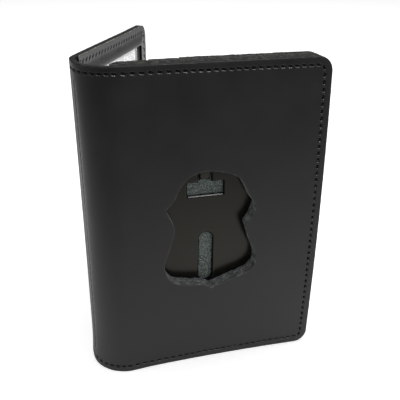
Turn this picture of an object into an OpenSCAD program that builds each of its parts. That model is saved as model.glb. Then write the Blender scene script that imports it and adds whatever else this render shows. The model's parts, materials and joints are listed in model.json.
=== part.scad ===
// Book-style badge and ID wallet, standing open on its lower edges.
// The front panel carries the cut-out for a badge, the back panel a clear ID window.

/* [Cover] */
// Height of the wallet along the spine
cover_h = 121; // [100:1:160]
// Width of a panel, from the end of the spine's curve to the free edge
panel_w = 75.7; // [66:0.1:110]
// Thickness of the cover leather
cover_t = 2; // [1.4:0.1:2.6]
// Radius of the free corners
corner_r = 5.2; // [4.4:0.1:9]

/* [Spine] */
// Outer radius of the spine's curve as the wallet stands
spine_r = 13.5; // [12.5:0.1:22]
// Angle between the two panels as the wallet stands, in degrees
open_angle = 63; // [45:0.5:100]
// Share of the curve that bends at each fold, the rest being the stiff spine
fold_share = 0.36; // [0.3:0.01:0.42]

/* [Badge cut-out] */
// Width of the cut-out
badge_w = 36.4; // [30:0.1:46]
// Height of the cut-out
badge_h = 50; // [40:0.1:66]
// Distance of the cut-out's middle from the end of the spine's curve
badge_x = 32.2; // [26:0.1:44]
// Height of the cut-out's middle
badge_z = 57.8; // [45:0.1:90]

/* [Badge side layers] */
// Thickness of the fibre board that makes the recess deep
spacer_t = 3.2; // [1.5:0.1:5]
// Thickness of the leather that the badge lies on
backing_t = 1.3; // [0.8:0.1:2]
// Thickness of the felt behind it
felt_t = 0.6; // [0.4:0.1:1.5]
// Thickness of each card pocket
pocket_t = 1.1; // [0.8:0.1:1.5]
// Start of the card pockets' base, past the end of the spine's curve
base_start = 1; // [0:0.5:4]
// Step between one card pocket's mouth and the next
pocket_step = 11; // [8:0.5:15]

/* [Badge fittings] */
// Width of the window for the badge's hinge
hinge_w = 14.5; // [8:0.1:20]
// Height of the window for the badge's hinge
hinge_h = 5.6; // [4.4:0.1:9]
// Height of the hinge window's middle above the cut-out's middle
hinge_up = 15.8; // [12:0.1:17]
// Distance of the hinge window from the cut-out's middle line
hinge_aside = 1; // [0:0.1:2]
// Width of the tab above the hinge window
tab_w = 4.2; // [3:0.1:7]
// Length of the two slits beside the tab
slit_l = 3.3; // [1:0.1:4]
// Width of the two slits
slit_w = 0.5; // [0.3:0.1:1]
// Width of the slot for the badge's catch
catch_w = 6.3; // [4.4:0.1:9]
// Length of the slot for the badge's catch
catch_l = 22.4; // [14:0.1:28]
// Depth of the catch slot's middle below the cut-out's middle
catch_down = 13; // [9:0.1:14]
// Distance of the catch slot from the cut-out's middle line
catch_aside = 0.6; // [0:0.1:2]

/* [ID side] */
// Thickness of the lining behind the ID card
lining_t = 0.2; // [0.2:0.1:1]
// Thickness of the leather frame round the window
frame_t = 1.1; // [1:0.1:3]
// Width of the frame's strip at the top and the bottom
frame_top_w = 7.9; // [6:0.1:14]
// Width of the frame's strip at the free edge
frame_side_w = 5.7; // [5:0.1:12]
// Width of the frame's strip beside the spine
frame_spine_w = 8; // [6:0.1:16]
// Start of the lining and the frame, past the end of the spine's curve
frame_start = 1; // [0:0.5:4]
// Thickness of the clear window sheet
window_t = 0.3; // [0.2:0.05:0.5]
// Distance that the window sheet and the card run under the frame
window_lap = 3; // [2:0.1:4]
// Gap between the window sheet's loose edge and the frame, for a thumb
thumb_gap = 5.3; // [4:0.1:12]
// Thickness of the ID card
card_t = 0.3; // [0.2:0.05:0.4]
// Clearance on each face of the ID card
card_play = 0.05; // [0.05:0.01:0.15]
// Distance that the ID card's edge lies inside the window sheet's loose edge
card_back = 2.7; // [1:0.1:8]

/* [Stitching] */
// Distance of the stitching from the edges
seam_inset = 2.9; // [2.6:0.1:3.6]
// Distance from one stitch to the next
stitch_pitch = 2.7; // [2.4:0.1:4]
// Length of the thread that shows in one stitch
stitch_l = 1.8; // [1.2:0.1:2]
// Width of the thread
thread_w = 0.55; // [0.3:0.05:0.6]
// Thickness of the thread
thread_t = 0.3; // [0.2:0.05:0.35]
// Width of the groove that the thread lies in
groove_w = 1.1; // [1.1:0.05:1.4]
// Depth of the groove
groove_d = 0.4; // [0.4:0.05:0.6]
// Slant of each stitch, in degrees
stitch_slant = 6; // [0:1:10]

/* [Hidden] */

$fn = 96;
// Overrun of a cut past the face that it opens
cut_over = 0.5;
// Clearance between the thread and the floor of its groove
thread_gap = 0.02;

// The outer faces of the two panels turn by this angle round the spine
turn = 180 - open_angle;
fold_turn = turn * fold_share;
spine_turn = turn - 2 * fold_turn;

// Depths of the layers from the outer face of the front panel
spacer_y = cover_t;
backing_y = spacer_y + spacer_t;
felt_y = backing_y + backing_t;
base_y = felt_y + felt_t;
pocket_1_y = base_y + pocket_t;
pocket_2_y = pocket_1_y + pocket_t;
front_stack = pocket_2_y + pocket_t;
pocket_1_x = base_start + pocket_step;
pocket_2_x = pocket_1_x + pocket_step;

// Depths of the layers from the outer face of the back panel
lining_y = cover_t;
card_y = lining_y + lining_t + card_play;
window_y = card_y + card_t + card_play;
frame_y = lining_y + lining_t;
back_stack = frame_y + frame_t;

// The ID window: the frame's opening, the sheet behind it and the card, whose edge lies
// this share of the lap inside the sheet's own edge
lap_share = 0.25;
opening_x0 = frame_start + frame_spine_w;
opening_x1 = panel_w - frame_side_w;
opening_z0 = frame_top_w;
opening_z1 = cover_h - frame_top_w;
sheet_x0 = opening_x0 - window_lap;
sheet_x1 = opening_x1 - thumb_gap;
sheet_z0 = opening_z0 - window_lap;
sheet_z1 = opening_z1 + window_lap;
card_x0 = sheet_x0 + window_lap * lap_share;
card_x1 = sheet_x1 - card_back;
card_z0 = sheet_z0 + window_lap * lap_share;
card_z1 = sheet_z1 - window_lap * lap_share;
// The card can slide until its edge meets the end of the frame's rebate
card_travel = opening_x1 + window_lap * lap_share - card_x1;

// Stitching: a run along the top, a bend round the corner and half of the side
run_l = panel_w - corner_r;
bend_r = corner_r - seam_inset;
bend_l = bend_r * PI / 2;
side_l = cover_h / 2 - corner_r;
half_seam = run_l + bend_l + side_l;

// Origin: the middle of the base's bounding box
back_reach_x = -spine_r * sin(open_angle) + panel_w * cos(open_angle);
back_reach_y = spine_r + spine_r * cos(open_angle) + panel_w * sin(open_angle);
mid_x = (max(panel_w, back_reach_x) - spine_r) / 2;
mid_y = back_reach_y / 2;

// Half of the cut-out, from the point at its foot to the ear at its side, as shares
// of half its width and half its height
lower_shares = [
    [0, -1], [0.15, -0.94], [0.305, -0.9], [0.56, -0.865], [0.795, -0.805], [0.955, -0.69], [1, -0.55],
    [0.975, -0.415], [0.91, -0.275], [0.825, -0.08], [0.78, 0.06], [0.8, 0.14], [0.86, 0.235],
    [0.925, 0.34], [0.915, 0.42]
];
// From the ear to the peak at its top
upper_shares = [
    [0.915, 0.42], [0.79, 0.53], [0.695, 0.66], [0.6, 0.795], [0.475, 0.885], [0.315, 0.945],
    [0.145, 0.97], [0, 1]
];
// Steps of the curve between two of those points
curve_steps = 3;

// A smooth curve through four points, at the share u of the way between the middle two
function blend_point(a, b, c, d, u) =
    0.5 * (2 * b + (c - a) * u + (2 * a - 5 * b + 4 * c - d) * u * u + (3 * b - a - 3 * c + d) * u * u * u);
function smooth(points) = [
    for (i = [0 : len(points) - 2], k = [0 : curve_steps - 1])
        blend_point(points[max(i - 1, 0)], points[i], points[i + 1],
            points[min(i + 2, len(points) - 1)], k / curve_steps)
];
half_outline = concat(smooth(lower_shares), smooth(upper_shares));
outline = concat(
    half_outline,
    [[0, 1]],
    [for (i = [len(half_outline) - 1 : -1 : 1]) [-half_outline[i][0], half_outline[i][1]]]
);

// Places a panel's own frame: x from the spine to the free edge, y from the
// outer face into the wallet, z up
module on_front() {
    translate([-mid_x, -mid_y, 0]) children();
}

module on_back() {
    translate([-mid_x - spine_r * sin(open_angle), -mid_y + spine_r * (1 + cos(open_angle)), 0])
        rotate([0, 0, open_angle])
            mirror([0, 1, 0]) children();
}

// A flat sheet of thickness t at depth y, from an outline in x and z
module sheet(y, t) {
    translate([0, y + t, 0]) rotate([90, 0, 0]) linear_extrude(height = t) children();
}

// Outline of a panel from x0 to its free edge, with round free corners
module panel_outline(x0) {
    union() {
        translate([x0, 0]) square([panel_w - corner_r - x0, cover_h]);
        translate([x0, corner_r]) square([panel_w - x0, cover_h - 2 * corner_r]);
        for (z = [corner_r, cover_h - corner_r])
            translate([panel_w - corner_r, z]) circle(r = corner_r);
    }
}

module badge_outline() {
    translate([badge_x, badge_z]) polygon([
        for (p = outline) [p[0] * badge_w / 2, p[1] * badge_h / 2]
    ]);
}

// Outline of the groove along the top, the free edge and the bottom, from x0
module groove_outline(x0) {
    for (z = [seam_inset, cover_h - seam_inset])
        translate([x0, z - groove_w / 2]) square([run_l - x0, groove_w]);
    translate([panel_w - seam_inset - groove_w / 2, corner_r])
        square([groove_w, cover_h - 2 * corner_r]);
    for (side = [0, 1])
        translate([run_l, side * cover_h]) mirror([0, side]) translate([0, corner_r]) intersection() {
            difference() {
                circle(r = bend_r + groove_w / 2);
                circle(r = bend_r - groove_w / 2);
            }
            translate([0, -corner_r]) square([corner_r, corner_r]);
        }
}

// The groove from x0 to x1 only, on a layer that the next one covers from x1
module groove_part(x0, x1) {
    for (z = [seam_inset, cover_h - seam_inset])
        translate([x0, z - groove_w / 2]) square([x1 - x0, groove_w]);
}

// Place and direction of a stitch whose middle is a length d along the seam's upper half
function seam_x(d) =
    d < run_l ? d
    : d < run_l + bend_l ? run_l + bend_r * sin((d - run_l) / bend_l * 90)
    : panel_w - seam_inset;
function seam_z(d) =
    d < run_l ? cover_h - seam_inset
    : d < run_l + bend_l ? cover_h - corner_r + bend_r * cos((d - run_l) / bend_l * 90)
    : cover_h - corner_r - (d - run_l - bend_l);
function seam_turn(d) =
    d < run_l ? 0
    : d < run_l + bend_l ? (d - run_l) / bend_l * 90
    : 90;

// One stitch: a short flat bar of thread along x, from depth 0 inwards
module stitch() {
    rotate([0, stitch_slant, 0])
        translate([-stitch_l / 2, 0, -thread_w / 2]) cube([stitch_l, thread_t, thread_w]);
}

// The stitches of both halves whose middles lie from d0 to d1 along the seam
module stitches(y, d0, d1) {
    count = floor(half_seam / stitch_pitch);
    for (side = [0, 1])
        translate([0, 0, side * cover_h]) mirror([0, 0, side])
            for (i = [0 : count - 1]) {
                d = half_seam - (i + 0.5) * stitch_pitch;
                if (d >= d0 + stitch_l / 2 + thread_t && d <= d1 - stitch_l / 2 - thread_t)
                    translate([seam_x(d), y, seam_z(d)]) rotate([0, seam_turn(d), 0]) stitch();
            }
}

// A strip of the curved leather from the turn a0 to the turn a1, with its grooves
module curved_leather(a0, a1) {
    translate([0, spine_r, 0]) rotate([0, 0, -90 - a1]) difference() {
        rotate_extrude(angle = a1 - a0) translate([spine_r - cover_t, 0]) square([cover_t, cover_h]);
        for (z = [seam_inset, cover_h - seam_inset])
            translate([0, 0, z - groove_w / 2]) difference() {
                cylinder(r = spine_r + cut_over, h = groove_w);
                translate([0, 0, -cut_over]) cylinder(r = spine_r - groove_d, h = groove_w + 2 * cut_over);
            }
    }
}

// The stitches round the curve from the turn a0 to the turn a1
module curved_stitches(a0, a1) {
    count = floor((a1 - a0) / 180 * PI * spine_r / stitch_pitch);
    step = (a1 - a0) / count;
    translate([0, spine_r, 0])
        for (i = [0 : count - 1], z = [seam_inset, cover_h - seam_inset])
            rotate([0, 0, -a0 - (i + 0.5) * step])
                translate([0, -spine_r + groove_d - thread_gap - thread_t, z]) stitch();
}

// Leather cover
module cover_panel() {
    difference() {
        sheet(0, cover_t) panel_outline(0);
        sheet(-cut_over, groove_d + cut_over) groove_outline(-cut_over);
    }
}

module front_cover() {
    color([0.11, 0.11, 0.115]) on_front() difference() {
        cover_panel();
        sheet(-cut_over, cover_t + 2 * cut_over) badge_outline();
    }
}

module back_cover() {
    color([0.11, 0.11, 0.115]) on_back() cover_panel();
}

module front_fold() {
    color([0.13, 0.13, 0.135]) on_front() curved_leather(0, fold_turn);
}

module spine_leather() {
    color([0.12, 0.12, 0.125]) on_front() curved_leather(fold_turn, fold_turn + spine_turn);
}

module back_fold() {
    color([0.13, 0.13, 0.135]) on_front() curved_leather(fold_turn + spine_turn, turn);
}

// Layers of the badge side
module recess_spacer() {
    color([0.3, 0.32, 0.3]) on_front() sheet(spacer_y, spacer_t) difference() {
        panel_outline(0);
        badge_outline();
    }
}

module badge_backing() {
    hinge_x = badge_x - hinge_aside;
    window_z = badge_z + hinge_up;
    color([0.18, 0.17, 0.16]) on_front() sheet(backing_y, backing_t) difference() {
        panel_outline(0);
        translate([hinge_x - hinge_w / 2, window_z - hinge_h / 2]) square([hinge_w, hinge_h]);
        for (side = [-1, 1])
            translate([hinge_x + side * (tab_w + slit_w) / 2 - slit_w / 2, window_z])
                square([slit_w, hinge_h / 2 + slit_l]);
        translate([badge_x - catch_aside, badge_z - catch_down]) union() {
            for (side = [-1, 1])
                translate([0, side * (catch_l - catch_w) / 2]) circle(d = catch_w);
            translate([-catch_w / 2, -(catch_l - catch_w) / 2]) square([catch_w, catch_l - catch_w]);
        }
    }
}

module felt_backer() {
    color([0.4, 0.43, 0.41]) on_front() sheet(felt_y, felt_t) panel_outline(0);
}

module card_pocket_base() {
    color([0.16, 0.16, 0.165]) on_front() difference() {
        sheet(base_y, pocket_t) panel_outline(base_start);
        sheet(pocket_1_y - groove_d, groove_d + cut_over) groove_part(base_start - cut_over, pocket_1_x);
    }
}

module card_pocket_1() {
    color([0.15, 0.15, 0.155]) on_front() difference() {
        sheet(pocket_1_y, pocket_t) panel_outline(pocket_1_x);
        sheet(pocket_2_y - groove_d, groove_d + cut_over) groove_part(pocket_1_x - cut_over, pocket_2_x);
    }
}

module card_pocket_2() {
    color([0.15, 0.15, 0.155]) on_front() difference() {
        sheet(pocket_2_y, pocket_t) panel_outline(pocket_2_x);
        sheet(front_stack - groove_d, groove_d + cut_over) groove_outline(pocket_2_x - cut_over);
    }
}

// Layers of the ID side
module back_lining() {
    color([0.09, 0.09, 0.09]) on_back() sheet(lining_y, lining_t) panel_outline(frame_start);
}

module id_card() {
    color([0.93, 0.93, 0.93]) on_back() sheet(card_y, card_t)
        translate([card_x0, card_z0]) square([card_x1 - card_x0, card_z1 - card_z0]);
}

module id_window() {
    color([0.85, 0.88, 0.9, 0.35]) on_back() sheet(window_y, window_t)
        translate([sheet_x0, sheet_z0]) square([sheet_x1 - sheet_x0, sheet_z1 - sheet_z0]);
}

module id_frame() {
    color([0.2, 0.2, 0.21]) on_back() difference() {
        sheet(frame_y, frame_t) panel_outline(frame_start);
        sheet(frame_y - cut_over, frame_t + 2 * cut_over)
            translate([opening_x0, opening_z0])
                square([opening_x1 - opening_x0, opening_z1 - opening_z0]);
        sheet(frame_y - cut_over, window_y + window_t - frame_y + cut_over)
            translate([sheet_x0, sheet_z0])
                square([opening_x1 + window_lap * lap_share - sheet_x0, sheet_z1 - sheet_z0]);
        sheet(back_stack - groove_d, groove_d + cut_over) groove_outline(frame_start - cut_over);
    }
}

// Stitching
module front_seam_outer() {
    color([0.05, 0.05, 0.05]) on_front()
        stitches(groove_d - thread_gap - thread_t, 0, half_seam + stitch_pitch);
}

module front_seam_inner() {
    color([0.05, 0.05, 0.05]) on_front() {
        stitches(pocket_1_y - groove_d + thread_gap, base_start, pocket_1_x);
        stitches(pocket_2_y - groove_d + thread_gap, pocket_1_x, pocket_2_x);
        stitches(front_stack - groove_d + thread_gap, pocket_2_x, half_seam + stitch_pitch);
    }
}

module back_seam_outer() {
    color([0.05, 0.05, 0.05]) on_back()
        stitches(groove_d - thread_gap - thread_t, 0, half_seam + stitch_pitch);
}

module back_seam_inner() {
    color([0.05, 0.05, 0.05]) on_back()
        stitches(back_stack - groove_d + thread_gap, frame_start, half_seam + stitch_pitch);
}

module front_fold_seam() {
    color([0.05, 0.05, 0.05]) on_front() curved_stitches(0, fold_turn);
}

module spine_seam() {
    color([0.05, 0.05, 0.05]) on_front() curved_stitches(fold_turn, fold_turn + spine_turn);
}

module back_fold_seam() {
    color([0.05, 0.05, 0.05]) on_front() curved_stitches(fold_turn + spine_turn, turn);
}

front_cover();
front_fold();
spine_leather();
back_fold();
back_cover();
recess_spacer();
badge_backing();
felt_backer();
card_pocket_base();
card_pocket_1();
card_pocket_2();
back_lining();
id_card();
id_window();
id_frame();
front_seam_outer();
front_seam_inner();
back_seam_outer();
back_seam_inner();
front_fold_seam();
spine_seam();
back_fold_seam();
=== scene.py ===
import json
import math
from bisect import bisect_left

import bmesh
import bpy
from mathutils import Matrix, Vector, noise
from mathutils.geometry import delaunay_2d_cdt
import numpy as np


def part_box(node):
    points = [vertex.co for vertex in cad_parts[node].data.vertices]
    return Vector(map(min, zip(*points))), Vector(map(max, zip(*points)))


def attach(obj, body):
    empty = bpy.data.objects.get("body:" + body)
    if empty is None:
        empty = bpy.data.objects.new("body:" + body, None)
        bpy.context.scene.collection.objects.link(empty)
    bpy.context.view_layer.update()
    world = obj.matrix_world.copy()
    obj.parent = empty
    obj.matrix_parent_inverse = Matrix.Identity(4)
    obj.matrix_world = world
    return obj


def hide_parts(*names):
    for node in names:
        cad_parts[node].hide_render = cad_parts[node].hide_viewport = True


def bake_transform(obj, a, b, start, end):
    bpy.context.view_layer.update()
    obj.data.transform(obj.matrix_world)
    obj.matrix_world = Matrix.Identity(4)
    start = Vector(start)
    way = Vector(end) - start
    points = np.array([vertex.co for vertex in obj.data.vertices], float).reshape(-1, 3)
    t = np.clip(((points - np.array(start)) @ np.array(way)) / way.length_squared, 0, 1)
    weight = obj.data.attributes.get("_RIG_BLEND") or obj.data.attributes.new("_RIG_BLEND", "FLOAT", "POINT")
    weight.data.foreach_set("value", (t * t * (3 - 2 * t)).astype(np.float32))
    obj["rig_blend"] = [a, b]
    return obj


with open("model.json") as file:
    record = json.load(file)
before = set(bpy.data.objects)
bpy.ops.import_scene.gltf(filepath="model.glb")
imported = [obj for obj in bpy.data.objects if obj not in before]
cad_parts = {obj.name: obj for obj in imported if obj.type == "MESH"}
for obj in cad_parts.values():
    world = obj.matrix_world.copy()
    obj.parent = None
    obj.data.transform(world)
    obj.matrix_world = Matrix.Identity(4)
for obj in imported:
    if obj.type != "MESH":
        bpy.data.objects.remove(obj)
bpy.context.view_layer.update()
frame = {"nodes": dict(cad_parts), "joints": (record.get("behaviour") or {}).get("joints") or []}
mm = 0.001
tiny = 1e-6
uvSpan = 100                    # mm of leather to one unit of the materials' plan

# main sizes in mm, read from the CAD frame; plan coordinates run from the spine's end to the free edge
coverLow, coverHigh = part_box("front_cover")
slideAxis = next(joint for joint in frame["joints"] if joint["name"] == "id_card_slide")["axis"]
wallet = {
    "height": (coverHigh.z - coverLow.z) / mm,
    "panel": (coverHigh.x - coverLow.x) / mm,
    "leather": (coverHigh.y - coverLow.y) / mm,
    "spineRadius": (coverLow.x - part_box("back_fold")[0].x) / mm,
    "openAngle": math.atan2(slideAxis[1], slideAxis[0]),
    "cornerRadius": 5.2,
    "foldShare": 0.36,          # share of the curve that bends at each fold
    "waveHeight": 0.12,         # slow unevenness of the flat leather
    "waveLength": 38.0,
    "waveSlice": 7.0,           # which cut through the noise it is taken from
    "waveFade": 12.0,           # it fades out this near to the edges
    "waveFadeAtSpine": 14.0,
    "dish": 0.9,                # the front panel's middle is pressed in by this much at its foot
    "dishReach": 80.0,          # and less and less up to this height
    "drawIn": 0.9,              # the free corners lie this much further in than the free edge's middle
    "trim": 0.2,                # and that much less than the full width at its middle
    "bulge": 0.75,              # the cover stands out by this much where the spine meets the back panel
    "bulgeReach": 60.0,
    "bulgeSlope": 2.2,
    "bulgeOnCurve": 6.5,
    "hollow": 0.75,             # and the spine is pressed in by this much at mid-height
    "hollowSkew": 2.2,          # more towards the back panel than towards the front
    "hollowFallLow": 1.0,       # share of the hollow that is gone at the foot, and at the top
    "hollowFallHigh": 0.4,
    "flare": 0.4,               # the spine's foot is spread by this much
    "flareReach": 14.0,
    "layerShort": 0.1,          # the inner layers' tops lie this much below the cover's
    "layerShortReach": 12.0,
}
height, panel, leather = wallet["height"], wallet["panel"], wallet["leather"]
spineRadius = wallet["spineRadius"]
openAngle = wallet["openAngle"]
turnAngle = math.pi - openAngle
curveLength = turnAngle * spineRadius
foldLength = curveLength * wallet["foldShare"]
spineCentre = Vector((coverLow.x / mm, coverLow.y / mm + spineRadius))
backNormal = Vector((-math.sin(openAngle), math.cos(openAngle)))
backAlong = Vector((math.cos(openAngle), math.sin(openAngle)))
backStart = spineCentre + spineRadius * backNormal


def clamped(share):
    return min(1.0, max(0.0, share))


def slowWave(s, z):
    reach = wallet["waveFade"]
    fade = clamped((panel - s) / reach) * clamped(s / wallet["waveFadeAtSpine"])
    fade *= clamped(z / reach) * clamped((height - z) / reach)
    spot = Vector((s, z, wallet["waveSlice"])) / wallet["waveLength"]
    return wallet["waveHeight"] * fade * noise.noise(spot)


def dishDepth(s, z):
    fade = max(0.0, 1 - z / wallet["dishReach"]) ** 2
    return wallet["dish"] * fade * (1 - (2 * s / panel - 1) ** 2)


def drawnIn(s, z):
    return s - s / panel * (wallet["trim"] + wallet["drawIn"] * (2 * z / height - 1) ** 2)


def flareOut(s, z):
    beside = 1.0 if s < 0 else max(0.0, 1 - s / wallet["flareReach"]) ** 2
    return wallet["flare"] * beside * max(0.0, 1 - z / wallet["flareReach"]) ** 2


def bulgeOut(s):
    # s runs from the back panel's start, below nought on the curve
    if s >= 0:
        share = min(1.0, s / wallet["bulgeReach"])
        return wallet["bulge"] * ((1 - share) ** 2 * (1 + wallet["bulgeSlope"] * share))
    share = min(1.0, -s / wallet["bulgeOnCurve"])
    return wallet["bulge"] * (1 - share * share) ** 2


def hollowIn(s, z):
    # s runs on the curve from nought down to minus its length
    share = clamped(-s / curveLength)
    fall = wallet["hollowFallHigh"] if z > height / 2 else wallet["hollowFallLow"]
    across = math.sin(math.pi * share ** wallet["hollowSkew"]) ** 2
    return wallet["hollow"] * across * (1 - fall * (2 * z / height - 1) ** 2)


def frontPoint(s, z, depth):
    # a point of the badge side: s and z in its plan, depth from the outer face inwards
    z = max(z, 0.0)
    depth -= flareOut(s, z)
    if s >= 0:
        depth += slowWave(s, z) + dishDepth(s, z)
        return Vector((coverLow.x + drawnIn(s, z) * mm, coverLow.y + depth * mm, z * mm))
    angle = -s / spineRadius
    radius = spineRadius - depth + bulgeOut(-s - curveLength) - hollowIn(s, z)
    spot = spineCentre + radius * Vector((-math.sin(angle), -math.cos(angle)))
    return Vector((spot.x * mm, spot.y * mm, z * mm))


def innerPoint(s, z, depth):
    # a point of the badge side's inner layers, which are cut a little short at the top
    reach = wallet["layerShortReach"]
    return frontPoint(s, z - wallet["layerShort"] * clamped((z - height + reach) / reach), depth)


def backPoint(s, z, depth):
    # a point of the ID side
    z = max(z, 0.0)
    depth -= flareOut(s, z) + bulgeOut(s) - hollowIn(-s - curveLength, z)
    if s >= 0:
        spot = backStart + drawnIn(s, z) * backAlong - depth * backNormal
    else:
        angle = turnAngle + s / spineRadius
        radius = spineRadius - depth
        spot = spineCentre + radius * Vector((-math.sin(angle), -math.cos(angle)))
    return Vector((spot.x * mm, spot.y * mm, z * mm))


def nodeSpan(node, onBack=False):
    # lowest and highest s, depth and z of a CAD node, in its panel's own plan
    spans = []
    for vertex in frame["nodes"][node].data.vertices:
        spot = Vector((vertex.co.x / mm, vertex.co.y / mm))
        if onBack:
            spot -= backStart
            spans.append((spot.dot(backAlong), -spot.dot(backNormal), vertex.co.z / mm))
        else:
            spans.append((spot.x - coverLow.x / mm, spot.y - coverLow.y / mm, vertex.co.z / mm))
    return [(min(column), max(column)) for column in zip(*spans)]


# Loops in the plan. The material lies on the left of the way they run.
loopSteps = {"edge": 0.7, "curve": 0.4, "end": 1.5, "opening": 0.5}


def lineSpots(start, end, step):
    length = math.dist(start, end)
    count = max(1, round(length / step))
    return [
        (start[0] + (end[0] - start[0]) * i / count, start[1] + (end[1] - start[1]) * i / count)
        for i in range(count)
    ]


def arcSpots(centre, radius, fromAngle, toAngle, step):
    count = max(2, round(abs(toAngle - fromAngle) * radius / step))
    spots = []
    for i in range(count):
        angle = fromAngle + (toAngle - fromAngle) * i / count
        spots.append((centre[0] + radius * math.cos(angle), centre[1] + radius * math.sin(angle)))
    return spots


def panelLoop(start):
    far = panel
    radius = wallet["cornerRadius"]
    flat = max(start, 0.0)
    step = loopSteps["edge"]
    loop = lineSpots((start, 0), (0, 0), loopSteps["curve"]) if start < 0 else []
    loop += lineSpots((flat, 0), (far - radius, 0), step)
    loop += arcSpots((far - radius, radius), radius, -math.pi / 2, 0, step / 2)
    loop += lineSpots((far, radius), (far, height - radius), step)
    loop += arcSpots((far - radius, height - radius), radius, 0, math.pi / 2, step / 2)
    loop += lineSpots((far - radius, height), (flat, height), step)
    if start < 0:
        loop += lineSpots((0, height), (start, height), loopSteps["curve"])
    return loop + lineSpots((start, height), (start, 0), loopSteps["end"])


def boxLoop(low, high, radius, step=loopSteps["edge"]):
    loop = []
    corners = [
        (high[0] - radius, low[1] + radius, -90), (high[0] - radius, high[1] - radius, 0),
        (low[0] + radius, high[1] - radius, 90), (low[0] + radius, low[1] + radius, 180),
    ]
    for i, (x, z, angle) in enumerate(corners):
        first = math.radians(angle)
        loop += arcSpots((x, z), radius, first, first + math.pi / 2, min(step, radius * 0.4))
        nextX, nextZ, nextAngle = corners[(i + 1) % 4]
        turned = math.radians(nextAngle)
        leave = (x + radius * math.cos(turned), z + radius * math.sin(turned))
        arrive = (nextX + radius * math.cos(turned), nextZ + radius * math.sin(turned))
        loop += lineSpots(leave, arrive, step)
    return loop


def smoothCurve(points, steps):
    curve = []
    for i in range(len(points) - 1):
        a, b = Vector(points[max(i - 1, 0)]), Vector(points[i])
        c, d = Vector(points[i + 1]), Vector(points[min(i + 2, len(points) - 1)])
        for k in range(steps):
            u = k / steps
            spot = 2 * b + (c - a) * u + (2 * a - 5 * b + 4 * c - d) * u * u
            curve.append(0.5 * (spot + (3 * b - a - 3 * c + d) * u ** 3))
    return curve


cutOut = {                      # the shield-shaped recess, cut by hand, in shares of its half sizes
    "width": 36.4, "height": 50.0, "middle": (32.2, 57.8), "curveSteps": 4,
    "waist": -0.14, "waistReach": 0.3,
    "rightShares": [
        (0.02, -0.975), (0.117, -0.94), (0.325, -0.89), (0.533, -0.84), (0.743, -0.79), (0.895, -0.725),
        (0.975, -0.65), (1, -0.56), (0.985, -0.45), (0.915, -0.345), (0.85, -0.25), (0.775, -0.1),
        (0.725, 0.045), (0.765, 0.1), (0.83, 0.165), (0.89, 0.245), (0.93, 0.355), (0.912, 0.425),
        (0.82, 0.51), (0.745, 0.625), (0.665, 0.745), (0.545, 0.85), (0.385, 0.922), (0.18, 0.965),
        (0.06, 0.985),
    ],
    "leftShares": [
        (0, 1), (-0.18, 0.995), (-0.31, 0.975), (-0.45, 0.925), (-0.56, 0.862), (-0.65, 0.774),
        (-0.722, 0.668), (-0.79, 0.575), (-0.875, 0.508), (-0.93, 0.46), (-0.915, 0.395), (-0.86, 0.3),
        (-0.8, 0.2),
        (-0.774, 0.115), (-0.805, -0.013), (-0.865, -0.16), (-0.935, -0.317), (-0.98, -0.42), (-0.992, -0.52),
        (-0.95, -0.64), (-0.85, -0.755), (-0.706, -0.82), (-0.422, -0.866), (-0.2, -0.885), (-0.06, -0.93),
        (0.02, -0.975),
    ],
}


def cutOutLoop(grow=0.0, waistGrow=0.0):
    steps = cutOut["curveSteps"]
    shares = smoothCurve(cutOut["rightShares"] + [(0, 1)], steps) + smoothCurve(cutOut["leftShares"], steps)
    scale = (cutOut["width"] / 2 + grow, cutOut["height"] / 2 + grow)
    middle = cutOut["middle"]
    loop = []
    for spot in shares:
        atWaist = max(0.0, 1 - ((spot[1] - cutOut["waist"]) / cutOut["waistReach"]) ** 2) ** 2
        wider = waistGrow * atWaist if spot[0] > 0 else 0.0
        loop.append((middle[0] + spot[0] * scale[0] + wider, middle[1] + spot[1] * scale[1]))
    return loop[::-1]           # clockwise, so that the leather lies on its left


fittings = {                    # openings in the leather behind the badge
    "window": (13.8, 5.3), "windowMiddle": (31.1, 73.75),
    "slitLength": 3.3, "slitWidth": 0.45, "tabWidth": 4.2, "tabLift": 0.8, "tabShift": -0.25, "tabPush": 0.4,
    "slot": (5.4, 21.4), "slotMiddle": (31.4, 44.8), "roundTrim": 0.01,
}


def windowLoop():
    (wide, tall), (x, z) = fittings["window"], fittings["windowMiddle"]
    left, right, low, high = x - wide / 2, x + wide / 2, z - tall / 2, z + tall / 2
    slitTop = high + fittings["slitLength"]
    tab = fittings["tabWidth"] / 2
    slit = fittings["slitWidth"]
    middle = x + fittings["tabShift"]
    tabFoot = high + fittings["tabLift"]
    corners = [
        (left, low), (right, low), (right, high), (middle + tab + slit, high), (middle + tab + slit, slitTop),
        (middle + tab, slitTop), (middle + tab, tabFoot), (middle - tab, tabFoot), (middle - tab, slitTop),
        (middle - tab - slit, slitTop), (middle - tab - slit, high), (left, high),
    ]
    loop = []
    for i, corner in enumerate(corners):
        loop += lineSpots(corner, corners[(i + 1) % len(corners)], loopSteps["opening"])
    return loop[::-1]


def slotLoop():
    (wide, tall), (x, z) = fittings["slot"], fittings["slotMiddle"]
    low = (x - wide / 2, z - tall / 2)
    high = (x + wide / 2, z + tall / 2)
    return boxLoop(low, high, wide / 2 - fittings["roundTrim"], loopSteps["opening"])[::-1]


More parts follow.
